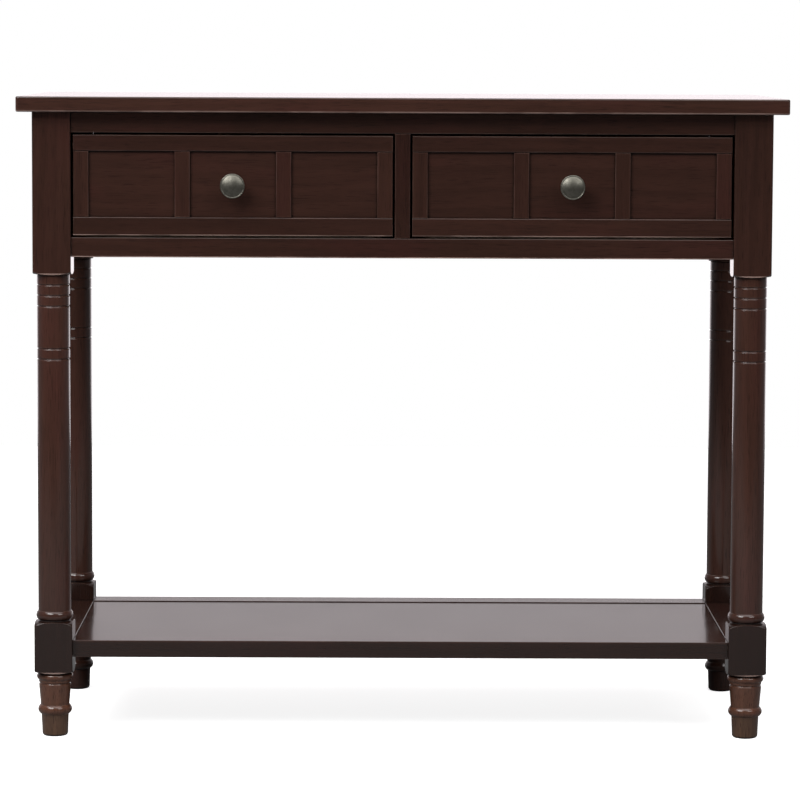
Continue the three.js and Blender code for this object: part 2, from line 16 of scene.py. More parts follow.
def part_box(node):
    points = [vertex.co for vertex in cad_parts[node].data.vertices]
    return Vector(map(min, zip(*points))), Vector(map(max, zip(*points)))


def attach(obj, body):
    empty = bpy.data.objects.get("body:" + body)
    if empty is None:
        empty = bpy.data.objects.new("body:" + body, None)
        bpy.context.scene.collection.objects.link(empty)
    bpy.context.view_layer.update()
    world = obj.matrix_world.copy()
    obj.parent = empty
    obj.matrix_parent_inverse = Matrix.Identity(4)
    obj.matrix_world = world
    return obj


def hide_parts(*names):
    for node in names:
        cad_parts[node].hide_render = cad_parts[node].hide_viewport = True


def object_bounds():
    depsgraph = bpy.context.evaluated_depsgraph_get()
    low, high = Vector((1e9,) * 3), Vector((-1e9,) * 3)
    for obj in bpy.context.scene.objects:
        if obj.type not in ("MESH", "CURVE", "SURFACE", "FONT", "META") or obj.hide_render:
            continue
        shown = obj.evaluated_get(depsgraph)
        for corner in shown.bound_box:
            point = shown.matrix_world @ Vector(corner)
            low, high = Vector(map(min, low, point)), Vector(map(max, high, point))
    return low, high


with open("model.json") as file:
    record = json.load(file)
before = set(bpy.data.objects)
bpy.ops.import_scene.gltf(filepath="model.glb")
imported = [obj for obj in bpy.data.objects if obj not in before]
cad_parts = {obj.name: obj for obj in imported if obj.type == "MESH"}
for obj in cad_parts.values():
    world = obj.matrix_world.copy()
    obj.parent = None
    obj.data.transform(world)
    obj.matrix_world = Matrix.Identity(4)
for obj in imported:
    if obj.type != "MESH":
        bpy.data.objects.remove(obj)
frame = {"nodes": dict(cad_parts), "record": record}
cad_low, cad_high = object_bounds()

MM = 0.001

# ---------------------------------------------------------------- driving values

# Camera: where it stands, how it is turned, and its lens on a 36 mm sensor.
CAMERA_AT = Vector((-0.0199, -4.5089, 0.8192))
CAMERA_PITCH_DOWN = math.radians(5.49)
CAMERA_YAW_RIGHT = math.radians(0.238)
CAMERA_ROLL = math.radians(0.253)
CAMERA_LENS = 166.64

# Turned legs, in millimetres: radii, and heights above the floor. The square blank comes from the CAD box.
# The shaft steps in to the neck just below the upper block. Support rows keep the shading of straight runs
# and of the foot's flat sole even.
LEG_CORNER_RADIUS = 2.0
LEG_SHAFT_RADIUS = 19.3
LEG_NECK_RADIUS = 18.5
SHAFT_END_GAP = 1.0
SHOULDER_OUTER_RADIUS = 32.5
UPPER_BLOCK_BASE = 548.5
UPPER_SHOULDER_HEIGHT = 6.5
LOWER_BLOCK = {"base": 76.2, "top": 138.0, "base_shoulder": 7.0, "top_shoulder": 8.5}
UPPER_BEAD = {"base": 138.9, "top": 150.0, "radius": 21.8}
BLOCK_RING = {"base": 67.4, "top": 75.4, "radius": 21.5}
FOOT_BEAD = {"base": 26.0, "top": 37.4, "radius": 20.0}
FOOT_TOP_RADIUS = 19.2
FOOT_BEAD_TOP_RADIUS = 16.9
FOOT_BEAD_BASE_RADIUS = 16.1
FOOT_TIP_RADIUS = 15.2
FOOT_TIP_ROUNDING = 3.5
SOLE_SUPPORT_GAP = 2.0
GROOVE_HEIGHTS = (449.0, 461.4, 511.4, 524.0, 536.5)
FOOT_GROOVE_HEIGHT = 63.5
FOOT_GROOVE_RADIUS = FOOT_TOP_RADIUS - 0.25
GROOVE_BELOW = 1.6
GROOVE_ABOVE = 1.1
GROOVE_DEPTH = 1.1
BEAD_FULLNESS = 1.5
SUPPORT_ROW_GAP = 0.4

# Knob, in millimetres: radii, and distances out from the drawer's recessed panel. The rim has a sloping
# face that drops to its outer edge.
KNOB_SEAT = 0.3
KNOB_BASE_RADIUS = 8.0
KNOB_BASE_HEIGHT = 1.6
KNOB_NECK_RADIUS = 6.0
KNOB_NECK_HEIGHT = 10.5
KNOB_FLARE_STEP = 0.3
KNOB_RADIUS = 14.5
KNOB_RIM_HEIGHT = 20.2
KNOB_RIM_THICKNESS = 1.7
KNOB_RIM_WIDTH = 0.95
KNOB_RIM_DROP = 0.52
KNOB_RIM_ROUNDING = 0.15
KNOB_LINE_DEPTH = 0.35
KNOB_DOME_RADIUS = 12.95
KNOB_SIDES = 72

# Eased edges, in millimetres.
TABLETOP_EASING = 2.0
TABLETOP_CORNER_RADIUS = 4.0
SHOW_EASING = 0.9
STRIP_EASING = 0.3
SHELF_EASING = 0.5
END_EASING = 0.15
INNER_EASING = 0.6
METAL_EASING = 0.25

# Colour made darker (under 1) or paler (over 1) between two heights, some of it painted light: the two
# heights, the share of the colour that is left between them (one number, or one each for red, green and
# blue), and how softly it ends. Lengths are in millimetres.
# Painted light: paler colour just under the tabletop's overhang, to cancel the shade that the overhang
# casts there.
UNDER_OVERHANG_PAINTED_LIGHT = (730.0, 745.0, 2.0, 4.0)
# Legs: a darker lower block and a paler shaft, and the painted light under the overhang.
LEG_TONE_AND_LIGHT = (
    (LOWER_BLOCK["base"], LOWER_BLOCK["top"], 0.5, 1.5),
    (UPPER_BEAD["base"], UPPER_BLOCK_BASE, 1.5, 1.5),
    UNDER_OVERHANG_PAINTED_LIGHT,
)
# Painted light: paler front feet, standing for the light that the floor throws up onto them; the rear
# feet, in the shelf's shade, are left as they are.
FRONT_FOOT_PAINTED_LIGHT = (
    (-5.0, FOOT_BEAD["base"], (2.8, 3.5, 3.0), 1.5),
    (FOOT_BEAD["base"], BLOCK_RING["top"], (3.4, 3.4, 3.0), 1.5),
)
# The shelf's rails are darker between these heights.
SHELF_RAIL_DARKENING = ((90.0, 114.0, 0.55, 1.5),)
# The carcase's front rails: darker below 715 mm and a little darker from there to 745 mm, with the painted
# light under the overhang.
CARCASE_FRONT_TONE_AND_LIGHT = (
    (560.0, 715.0, 0.68, 1.0),
    (715.0, 745.0, 0.85, 1.0),
    UNDER_OVERHANG_PAINTED_LIGHT,
)
# The tabletop is paler between these heights.
TABLETOP_LIGHTENING = ((735.0, 755.0, 1.25, 1.0),)

# The lower arris of a front piece is painted pale, a painted highlight for the floor's light on that edge,
# in patches like rubbed wear:
# how high that reaches, in millimetres, and how much of the pale tone shows there. Then how softly it
# ends, in millimetres, and the pale tone.
ARRIS_HIGHLIGHT_RAIL = (1.2, 0.85)
ARRIS_HIGHLIGHT_TABLETOP = (2.0, 0.4)
ARRIS_HIGHLIGHT_LEG_BLOCK = (1.8, 0.6)
ARRIS_HIGHLIGHT_BLUR = 0.4
ARRIS_HIGHLIGHT_TONE = (0.42, 0.29, 0.25)

# How far, in millimetres, worn edges reach onto a face, painted shade reaches out of a corner, and dark
# patina reaches out of a metal piece's turned lines.
EDGE_WEAR_REACH = 1.6
CORNER_SHADE_REACH = 4.0
METAL_PATINA_REACH = 0.6

# How pale a square-cut board's eased edges are painted, from 0 to 1: wear, and a painted highlight on the
# bevels.
EASED_EDGE_WEAR_AND_HIGHLIGHT = 0.4

# Studio: light levels relative to a white surface, floor reach in metres, and softboxes with their place,
# width, height and watts.
ROOM_LIGHT = 0.05
SIDE_LIGHT = 0.2
SWEEP_LIGHT = 0.53
SWEEP_FOOT_LIGHT = 1.5
SWEEP_TINT = (1.0, 0.92, 0.95, 1.0)
FLOOR_GLOW = 0.86
FLOOR_BOUNCE = 0.22
FLOOR_FRONT = 2.2
FLOOR_SIDE = 2.6
FLOOR_BACK = 3.0
SOFTBOXES = {
    "left_softbox": ((-1.5, -2.1, 2.1), 1.7, 0.9, 53.0),
    "right_softbox": ((2.2, -2.9, 2.35), 1.9, 0.9, 33.0),
    "overhead_softbox": ((-0.35, -0.9, 2.8), 4.4, 2.8, 94.0),
}

slot_of_node = {part["node"]: part["material_slot"] for part in frame["record"]["subparts"]}
body_of_node = {
    node: body for body, nodes in frame["record"]["behaviour"]["bodies"].items() for node in nodes
}

# ---------------------------------------------------------------- node helpers


def new_material(name):
    material = bpy.data.materials.new(name)
    material.use_nodes = True
    tree = material.node_tree
    tree.nodes.clear()
    output = tree.nodes.new("ShaderNodeOutputMaterial")
    shader = tree.nodes.new("ShaderNodeBsdfPrincipled")
    tree.links.new(shader.outputs["BSDF"], output.inputs["Surface"])
    return material, tree, shader


def add_node(tree, kind, settings=None, **inputs):
    """A node with its settings, and its inputs given as values or as the sockets they are linked from."""
    node = tree.nodes.new(kind)
    for key, value in (settings or {}).items():
        setattr(node, key, value)
    for key, value in inputs.items():
        is_index = key[0] == "_" and key[1:].isdigit()
        socket = node.inputs[int(key[1:])] if is_index else node.inputs[key]
        if isinstance(value, bpy.types.NodeSocket):
            tree.links.new(value, socket)
        else:
            socket.default_value = value
    return node


def math_node(tree, operation, first, second=0.0, third=0.0, clamp=False):
    settings = {"operation": operation, "use_clamp": clamp}
    return add_node(tree, "ShaderNodeMath", settings, _0=first, _1=second, _2=third).outputs[0]


def vector_node(tree, operation, first, second=(0.0, 0.0, 0.0)):
    settings = {"operation": operation}
    return add_node(tree, "ShaderNodeVectorMath", settings, _0=first, _1=second).outputs[0]


def noise(tree, vector, scale, detail=2.0, roughness=0.5):
    """A noise texture node: its Fac and Color outputs are both used."""
    inputs = {"Vector": vector, "Scale": scale, "Detail": detail, "Roughness": roughness}
    return add_node(tree, "ShaderNodeTexNoise", None, **inputs)


def grain_noise(tree, grain, stretch, detail, roughness):
    """Noise that runs along the grain: stretch is how tightly it repeats along and across it."""
    along, across = stretch
    stretched = vector_node(tree, "MULTIPLY", grain, (along, across, across))
    return noise(tree, stretched, 1.0, detail, roughness).outputs["Fac"]


def remap(tree, value, low, high, to_low=0.0, to_high=1.0):
    settings = {"interpolation_type": "SMOOTHSTEP"}
    inputs = {"Value": value, "From Min": low, "From Max": high, "To Min": to_low, "To Max": to_high}
    return add_node(tree, "ShaderNodeMapRange", settings, **inputs).outputs["Result"]


def blend_colours(tree, factor, first, second, blend_type="MIX"):
    node = tree.nodes.new("ShaderNodeMix")
    node.data_type = "RGBA"
    node.blend_type = blend_type
    for index, value in ((0, factor), (6, first), (7, second)):
        if isinstance(value, bpy.types.NodeSocket):
            tree.links.new(value, node.inputs[index])
        else:
            node.inputs[index].default_value = value if index == 0 else (*value, 1.0)
    return node.outputs[2]


# ---------------------------------------------------------------- materials

WOODS = {
    "espresso_wood": {
        "dark": (0.0245, 0.0105, 0.0072),
        "light": (0.0425, 0.0175, 0.0122),
        "red": (0.0540, 0.0135, 0.0130),
        "red_share": 0.2,
        "pore": (0.012, 0.0055, 0.0040),
        "worn_and_lit": (0.160, 0.095, 0.075),
        "wear_and_highlight": 0.7,
        "corner_shade": 0.3,
        "ring_share": 0.5,
        "roughness": 0.32,
        "specular": 0.05,
        "coat": 1.0,
        "coat_roughness": 0.12,
        "bump": 0.25,
    },
    "inner_wood": {
        "dark": (0.255, 0.135, 0.070),
        "light": (0.385, 0.225, 0.125),
        "red": (0.330, 0.165, 0.090),
        "red_share": 0.4,
        "pore": (0.110, 0.055, 0.030),
        "worn_and_lit": (0.430, 0.270, 0.160),
        "wear_and_highlight": 0.4,
        "corner_shade": 0.7,
        "ring_share": 0.8,
        "roughness": 0.62,
        "specular": 0.3,
        "coat": 0.0,
        "coat_roughness": 0.3,
        "bump": 0.6,
    },
    "plywood": {
        "dark": (0.395, 0.260, 0.140),
        "light": (0.520, 0.375, 0.225),
        "red": (0.450, 0.290, 0.165),
        "red_share": 0.35,
        "pore": (0.260, 0.160, 0.085),
        "worn_and_lit": (0.560, 0.420, 0.270),
        "wear_and_highlight": 0.3,
        "corner_shade": 0.75,
        "ring_share": 0.9,
        "roughness": 0.58,
        "specular": 0.3,
        "coat": 0.0,
        "coat_roughness": 0.3,
        "bump": 0.5,
    },
}


def grain_coordinates(tree, axis, offset):
    """Object coordinates with X along the grain, shifted to a place of the board's own."""
    place = add_node(tree, "ShaderNodeTexCoord").outputs["Object"]
    split = add_node(tree, "ShaderNodeSeparateXYZ", None, Vector=vector_node(tree, "ADD", place, offset))
    order = [split.outputs[(axis + i) % 3] for i in range(3)]
    turned = add_node(tree, "ShaderNodeCombineXYZ", None, X=order[0], Y=order[1], Z=order[2]).outputs[0]
    stretched = vector_node(tree, "MULTIPLY", turned, (0.45, 1.0, 1.0))
    wander = noise(tree, stretched, 3.2, 2.0).outputs["Color"]
    sway = vector_node(tree, "SUBTRACT", wander, (0.5, 0.5, 0.5))
    return vector_node(tree, "ADD", turned, vector_node(tree, "MULTIPLY", sway, (0.0, 0.022, 0.022)))


def edge_mask(tree, square_cut):
    """1 on edges and corners and 0 on open faces: how far a rounded normal leans from the true one.

    A square-cut board's eased edges also count, which are the faces that lie along none of the three axes;
    there the pale edge is also a painted highlight on the bevels.
    """
    bevel = add_node(tree, "ShaderNodeBevel", {"samples": 4}, Radius=EDGE_WEAR_REACH * MM)
    rounded = bevel.outputs["Normal"]
    true_normal = add_node(tree, "ShaderNodeNewGeometry").outputs["Normal"]
    lean = add_node(tree, "ShaderNodeVectorMath", {"operation": "DISTANCE"}, _0=rounded, _1=true_normal)
    near_edge = remap(tree, lean.outputs["Value"], 0.12, 0.75)
    if not square_cut:
        return near_edge
    normal = add_node(tree, "ShaderNodeTexCoord").outputs["Normal"]
    split = add_node(tree, "ShaderNodeSeparateXYZ", None, Vector=vector_node(tree, "ABSOLUTE", normal))
    largest = math_node(tree, "MAXIMUM", split.outputs["X"], split.outputs["Y"])
    largest = math_node(tree, "MAXIMUM", largest, split.outputs["Z"])
    # Painted highlight on the eased bevels, along with their wear.
    eased = remap(tree, largest, 0.985, 0.88, 0.0, EASED_EDGE_WEAR_AND_HIGHLIGHT)
    return math_node(tree, "MAXIMUM", near_edge, eased)


def painted_corner_shade(tree, colour, depth):
    """Painted shade: darkens inner corners and joints by how closed in they are, where shade falls."""
    openness = add_node(
        tree, "ShaderNodeAmbientOcclusion", {"samples": 4}, Distance=CORNER_SHADE_REACH * MM
    ).outputs["AO"]
    mask = remap(tree, openness, 0.85, 0.45, 0.0, 1.0)
    return blend_colours(tree, mask, colour, (depth, depth, depth), "MULTIPLY")


def tone_and_light_zones(tree, colour, zones):
    """Darkens or lightens the colour between two heights, some zones being painted light: each zone is
    (base, top, share, blur).
    """
    place = add_node(tree, "ShaderNodeTexCoord").outputs["Object"]
    height = add_node(tree, "ShaderNodeSeparateXYZ", None, Vector=place).outputs["Z"]
    for base, top, share, blur in zones:
        above = remap(tree, height, (base - blur) * MM, (base + blur) * MM)
        below = remap(tree, height, (top + blur) * MM, (top - blur) * MM)
        mask = math_node(tree, "MULTIPLY", above, below)
        tint = share if isinstance(share, tuple) else (share, share, share)
        colour = blend_colours(tree, mask, colour, tint, "MULTIPLY")
    return colour


def painted_arris_highlight(tree, colour, base, reach, share):
    """Painted highlight: a pale band along a piece's lower arris, in patches like rubbed wear, for the
    floor's light on that edge.
    """
    place = add_node(tree, "ShaderNodeTexCoord").outputs["Object"]
    height = add_node(tree, "ShaderNodeSeparateXYZ", None, Vector=place).outputs["Z"]
    blur = ARRIS_HIGHLIGHT_BLUR
    below_top = remap(tree, height, (base + reach + blur) * MM, (base + reach - blur) * MM, 0.0, share)
    above_base = remap(tree, height, (base - 2 * blur) * MM, (base - blur) * MM)
    mask = math_node(tree, "MULTIPLY", below_top, above_base)
    patches = noise(tree, place, 18.0, 3.0, 0.6).outputs["Fac"]
    mask = math_node(tree, "MULTIPLY", mask, remap(tree, patches, 0.35, 0.62, 0.3, 1.0))
    return blend_colours(tree, mask, colour, ARRIS_HIGHLIGHT_TONE)


def lacquer_off_the_top(tree, coat):
    """The coat's weight on a rail whose upward face was left bare: only faces that show got lacquer."""
    normal = add_node(tree, "ShaderNodeTexCoord").outputs["Normal"]
    upward = add_node(tree, "ShaderNodeSeparateXYZ", None, Vector=normal).outputs["Z"]
    return remap(tree, upward, 0.9, 0.6, 0.0, coat)


def wood_material(name, kind, axis, seed, details):
    wood = WOODS[kind]
    material, tree, shader = new_material(name)
    spread = random.Random(seed)
    offset = tuple(spread.uniform(-4.0, 4.0) for _ in range(3))
    grain = grain_coordinates(tree, axis, offset)

    # Growth rings about a pith that lies outside the board, so faces show long arches and straight lines.
    ring_space = vector_node(tree, "MULTIPLY", grain, (0.35, 1.0, 1.0))
    rings = add_node(
        tree,
        "ShaderNodeTexWave",
        {"wave_type": "RINGS", "rings_direction": "X", "wave_profile": "SAW"},
        Vector=ring_space,
        Scale=28.0,
        Distortion=3.5,
        Detail=2.0,
    ).outputs["Fac"]
    streaks = grain_noise(tree, grain, (7.0, 190.0), 3.0, 0.6)
    fibres = grain_noise(tree, grain, (26.0, 900.0), 2.0, 0.6)
    figure = math_node(
        tree,
        "ADD",
        math_node(tree, "MULTIPLY", remap(tree, rings, 0.1, 0.95), wood["ring_share"]),
        math_node(tree, "MULTIPLY", remap(tree, streaks, 0.32, 0.7), 1.0 - wood["ring_share"]),
    )

    # Stain takes unevenly: broad clouds between the dark and the light tone, and redder patches.
    clouds = grain_noise(tree, grain, (3.5, 9.0), 3.0, 0.55)
    tone = math_node(
        tree,
        "ADD",
        math_node(tree, "MULTIPLY", figure, 0.45),
        math_node(tree, "MULTIPLY", remap(tree, clouds, 0.3, 0.72), 0.55),
        clamp=True,
    )
    colour = blend_colours(tree, tone, wood["dark"], wood["light"])
    patches = grain_noise(tree, grain, (5.0, 16.0), 2.0, 0.5)
    red_share = remap(tree, patches, 0.5, 0.72, 0.0, wood["red_share"])
    colour = blend_colours(tree, red_share, colour, wood["red"])
    # Darker or paler zones by height, some of them painted light.
    colour = tone_and_light_zones(tree, colour, details["zones"])

    # Open pores: fine dark dashes along the grain.
    pores = grain_noise(tree, grain, (42.0, 1500.0), 1.0, 0.5)
    pore_mask = remap(tree, pores, 0.60, 0.68, 0.0, 0.6)
    colour = blend_colours(tree, pore_mask, colour, wood["pore"])

    # Handling wears the stain thin along edges, in patches; the eased bevels of square-cut boards are also
    # painted pale as a painted highlight.
    rub = grain_noise(tree, grain, (20.0, 60.0), 3.0, 0.65)
    rubbed_patches = remap(tree, rub, 0.38, 0.66, 0.25, 1.0)
    worn_and_lit = math_node(tree, "MULTIPLY", edge_mask(tree, details["square_cut"]), rubbed_patches)
    worn_and_lit = math_node(tree, "MULTIPLY", worn_and_lit, wood["wear_and_highlight"])
    colour = blend_colours(tree, worn_and_lit, colour, wood["worn_and_lit"])
    # Painted shade in inner corners and joints.
    colour = painted_corner_shade(tree, colour, wood["corner_shade"])
    # Painted highlight along lower arrises.
    for base, reach, share in details["arris_highlights"]:
        colour = painted_arris_highlight(tree, colour, base, reach, share)
    tree.links.new(colour, shader.inputs["Base Color"])

    smears = noise(tree, grain, 14.0, 3.0, 0.6).outputs["Fac"]
    gloss = remap(tree, smears, 0.3, 0.7, wood["roughness"] - 0.02, wood["roughness"] + 0.03)
    gloss = math_node(tree, "ADD", gloss, math_node(tree, "MULTIPLY", pore_mask, 0.12))
    tree.links.new(gloss, shader.inputs["Roughness"])

    relief = math_node(
        tree,
        "SUBTRACT",
        math_node(tree, "MULTIPLY", fibres, 0.6),
        math_node(tree, "MULTIPLY", pore_mask, 0.9),
    )
    bump = add_node(
        tree, "ShaderNodeBump", None, Strength=wood["bump"], Distance=0.06 * MM, Height=relief
    )
    tree.links.new(bump.outputs["Normal"], shader.inputs["Normal"])

    shader.inputs["IOR"].default_value = 1.5
    shader.inputs["Specular IOR Level"].default_value = wood["specular"]
    shader.inputs["Coat Weight"].default_value = wood["coat"]
    if details["bare_top"]:
        tree.links.new(lacquer_off_the_top(tree, wood["coat"]), shader.inputs["Coat Weight"])
    shader.inputs["Coat Roughness"].default_value = wood["coat_roughness"]
    return material


def metal_material(name, colour, dark, roughness, tarnish):
    """Polished cast metal with faint blotches of tarnish and a skin of hairline scratches."""
    material, tree, shader = new_material(name)
    place = add_node(tree, "ShaderNodeTexCoord").outputs["Object"]
    blotches = noise(tree, place, 240.0, 4.0, 0.6).outputs["Fac"]
    mask = remap(tree, blotches, 0.42, 0.68, 0.0, tarnish)
    openness = add_node(
        tree, "ShaderNodeAmbientOcclusion", {"samples": 4}, Distance=METAL_PATINA_REACH * MM
    ).outputs["AO"]
    mask = math_node(tree, "MAXIMUM", mask, remap(tree, openness, 0.72, 0.45))
    tree.links.new(blend_colours(tree, mask, colour, dark), shader.inputs["Base Color"])
    scratch_space = vector_node(tree, "MULTIPLY", place, (2600.0, 2600.0, 300.0))
    scratches = noise(tree, scratch_space, 1.0, 2.0, 0.6).outputs["Fac"]
    gloss = remap(tree, scratches, 0.3, 0.7, roughness - 0.04, roughness + 0.05)
    gloss = math_node(tree, "ADD", gloss, math_node(tree, "MULTIPLY", mask, 0.1))
    tree.links.new(gloss, shader.inputs["Roughness"])
    bump = add_node(tree, "ShaderNodeBump", None, Strength=0.12, Distance=0.02 * MM, Height=scratches)
    tree.links.new(bump.outputs["Normal"], shader.inputs["Normal"])
    shader.inputs["Metallic"].default_value = 1.0
    return material


# Each metal's bare and tarnished colour, roughness, and share of tarnish.
METALS = {
    "pewter": metal_material("antique_pewter", (0.146, 0.140, 0.118), (0.052, 0.050, 0.042), 0.40, 0.4),
    "zinc_steel": metal_material("zinc_plate", (0.560, 0.555, 0.540), (0.300, 0.290, 0.270), 0.34, 0.5),
}


def tone_and_light_zones_of(node):
    # Legs get the painted light under the overhang; front legs also get painted light on their feet.
    if node.endswith("_leg"):
        return LEG_TONE_AND_LIGHT + FRONT_FOOT_PAINTED_LIGHT if node.startswith("front_") else LEG_TONE_AND_LIGHT
    if node.startswith("shelf_") and node.endswith("_rail"):
        return SHELF_RAIL_DARKENING
    if node in ("front_top_rail", "front_divider"):
        return CARCASE_FRONT_TONE_AND_LIGHT
    if node == "tabletop":
        return TABLETOP_LIGHTENING
    return ()


def arris_highlights_of(node):
    """The piece's lower arrises with a painted highlight, each as (height of the arris, how far up it
    reaches, share).
    """
    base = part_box(node)[0].z / MM
    if node == "tabletop":
        return [(base, *ARRIS_HIGHLIGHT_TABLETOP)]
    if node == "front_bottom_rail" or node.endswith("_face_bottom_rail"):
        return [(base, *ARRIS_HIGHLIGHT_RAIL)]
    if node in ("front_left_leg", "front_right_leg"):
        return [(UPPER_BLOCK_BASE, *ARRIS_HIGHLIGHT_LEG_BLOCK), (LOWER_BLOCK["base"], *ARRIS_HIGHLIGHT_LEG_BLOCK)]
    return []


def material_for(node):
    """The finish of a node's piece: each board is cut from its own place in the wood."""
    slot = slot_of_node[node]
    if slot in METALS:
        return METALS[slot]
    low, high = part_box(node)
    size = high - low
    axis = max(range(3), key=lambda i: size[i])
    details = {
        "zones": tone_and_light_zones_of(node),
        "arris_highlights": arris_highlights_of(node),
        "square_cut": not node.endswith(("_leg", "_corner_block")),
        "bare_top": node == "front_bottom_rail",
    }
    return wood_material(f"{node}_{slot}", slot, axis, f"grain of {node}", details)


# ---------------------------------------------------------------- mesh helpers


def finished(name, mesh, node):
    """Links a mesh as the piece shown for a CAD node: its material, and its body."""
    piece = bpy.data.objects.new(name, mesh)
    bpy.context.scene.collection.objects.link(piece)
    mesh.materials.clear()
    mesh.materials.append(material_for(node))
    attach(piece, body_of_node[node])
    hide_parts(node)
    return piece


def smooth_faces(mesh, sharp_degrees):
    mesh.polygons.foreach_set("use_smooth", [True] * len(mesh.polygons))
    mesh.set_sharp_from_angle(angle=math.radians(sharp_degrees))


def revolved(name, rows, ring_count, radius_at, place):
    """A closed mesh from rows of (radius, height).

    radius_at(radius, index) gives a ring point's own radius and its direction, and place(x, y, height)
    turns millimetres into a point of the scene.
    """
    vertices = []
    faces = []
    for radius, height in rows[1:-1]:
        for index in range(ring_count):
            reach, direction = radius_at(radius, index)
            vertices.append(place(reach * direction[0], reach * direction[1], height))
    row_count = len(rows) - 2
    for row in range(row_count - 1):
        for index in range(ring_count):
            following = (index + 1) % ring_count
            low = row * ring_count
            high = low + ring_count
            faces.append((low + index, low + following, high + following, high + index))
    bottom = len(vertices)
    vertices.append(place(0.0, 0.0, rows[0][1]))
    vertices.append(place(0.0, 0.0, rows[-1][1]))
    last = (row_count - 1) * ring_count
    for index in range(ring_count):
        following = (index + 1) % ring_count
        faces.append((bottom, following, index))
        faces.append((bottom + 1, last + index, last + following))
    mesh = bpy.data.meshes.new(name)
    mesh.from_pydata(vertices, [], faces)
    mesh.validate()
    return mesh


# ---------------------------------------------------------------- legs


def straight(start, end):
    """Rows of a straight run, with a support row just inside each end to keep its shading flat."""
    (r0, z0), (r1, z1) = start, end
    share = SUPPORT_ROW_GAP / abs(z1 - z0)
    rows = [start]
    for t in (share, 1.0 - share):
        rows.append((r0 + (r1 - r0) * t, z0 + (z1 - z0) * t))
    rows.append(end)
    return rows


def bead(shape, lower_neck, upper_neck, steps=20):
    middle = (shape["base"] + shape["top"]) / 2
    half = (shape["top"] - shape["base"]) / 2
    rows = []
    for i in range(steps + 1):
        angle = math.pi * (i / steps - 0.5)
        neck = lower_neck if angle < 0 else upper_neck
        swell = math.cos(angle) ** BEAD_FULLNESS
        rows.append((neck + (shape["radius"] - neck) * swell, middle + half * math.sin(angle)))
    return rows


def shoulder(neck_height, rise, steps=36):
    """The rounded turned end of a square block, from its neck out past the blank's corners."""
    reach = SHOULDER_OUTER_RADIUS - LEG_NECK_RADIUS
    rows = []
    for i in range(steps + 1):
        angle = math.pi / 2 * i / steps
        height = neck_height + rise * (1 - math.cos(angle))
        rows.append((LEG_NECK_RADIUS + reach * math.sin(angle), height))
    return rows


def groove(radius, height, steps=12):
    """A turned V with a soft bottom; its lower lip slopes more gently than its upper one."""
    rows = []
    for i in range(steps + 1):
        t = 2 * i / steps - 1
        half_width = GROOVE_BELOW if t < 0 else GROOVE_ABOVE
        rows.append((radius - GROOVE_DEPTH * math.cos(math.pi / 2 * t) ** 1.4, height + half_width * t))
    return rows


def leg_rows(top):
    """The leg's turned profile from the floor up, as (radius, height) in millimetres."""
    rows = [(0.0, 0.0), (FOOT_TIP_RADIUS - FOOT_TIP_ROUNDING - SOLE_SUPPORT_GAP, 0.0)]
    tip_steps = 8
    for i in range(tip_steps + 1):
        angle = math.pi / 2 * i / tip_steps
        inset = FOOT_TIP_ROUNDING * (1 - math.sin(angle))
        rows.append((FOOT_TIP_RADIUS - inset, FOOT_TIP_ROUNDING * (1 - math.cos(angle))))
    tip = (FOOT_TIP_RADIUS, FOOT_TIP_ROUNDING)
    rows += straight(tip, (FOOT_BEAD_BASE_RADIUS, FOOT_BEAD["base"]))[1:-1]
    rows += bead(FOOT_BEAD, FOOT_BEAD_BASE_RADIUS, FOOT_BEAD_TOP_RADIUS)
    foot_groove = groove(FOOT_GROOVE_RADIUS, FOOT_GROOVE_HEIGHT)
    rows += straight((FOOT_BEAD_TOP_RADIUS, FOOT_BEAD["top"]), foot_groove[0])[1:-1]
    rows += foot_groove
    rows += straight(foot_groove[-1], (FOOT_TOP_RADIUS, BLOCK_RING["base"]))[1:-1]
    rows += bead(BLOCK_RING, FOOT_TOP_RADIUS, LEG_NECK_RADIUS)
    rows += shoulder(LOWER_BLOCK["base"], LOWER_BLOCK["base_shoulder"])
    rows += shoulder(LOWER_BLOCK["top"], -LOWER_BLOCK["top_shoulder"])[::-1]
    rows += bead(UPPER_BEAD, LEG_NECK_RADIUS, LEG_SHAFT_RADIUS)
    height = UPPER_BEAD["top"]
    for groove_height in GROOVE_HEIGHTS:
        groove_start = (LEG_SHAFT_RADIUS, groove_height - GROOVE_BELOW)
        rows += straight((LEG_SHAFT_RADIUS, height), groove_start)[1:-1]
        rows += groove(LEG_SHAFT_RADIUS, groove_height)
        height = groove_height + GROOVE_ABOVE
    shaft_end = (LEG_SHAFT_RADIUS, UPPER_BLOCK_BASE - SHAFT_END_GAP)
    rows += straight((LEG_SHAFT_RADIUS, height), shaft_end)[1:]
    rows += shoulder(UPPER_BLOCK_BASE, UPPER_SHOULDER_HEIGHT)
    rows += straight(rows[-1], (SHOULDER_OUTER_RADIUS, top))[1:]
    rows.append((0.0, top))
    return rows


def leg_directions():
    """Angles round the leg: even steps across the flats, and close ones round the blank's four corners."""
    corner_half = 5.0
    flat_steps = 22
    corner_steps = 10
    angles = []
    for quarter in range(4):
        start = quarter * 90.0 - 45.0
        for i in range(flat_steps):
            angles.append(start + corner_half + (90.0 - 2 * corner_half) * i / flat_steps)
        for i in range(corner_steps):
            angles.append(start + 90.0 - corner_half + 2 * corner_half * i / corner_steps)
    return [math.radians(a) for a in angles]


def blank_radius(angle, half, corner):
    """Distance from the axis to the face of a square blank with rounded corners, in a direction."""
    along = max(abs(math.cos(angle)), abs(math.sin(angle)))
    across = min(abs(math.cos(angle)), abs(math.sin(angle)))
    reach = half / along
    if reach * across <= half - corner:
        return reach
    centre = half - corner
    middle = centre * (along + across)
    return middle + math.sqrt(middle**2 - (2 * centre**2 - corner**2))


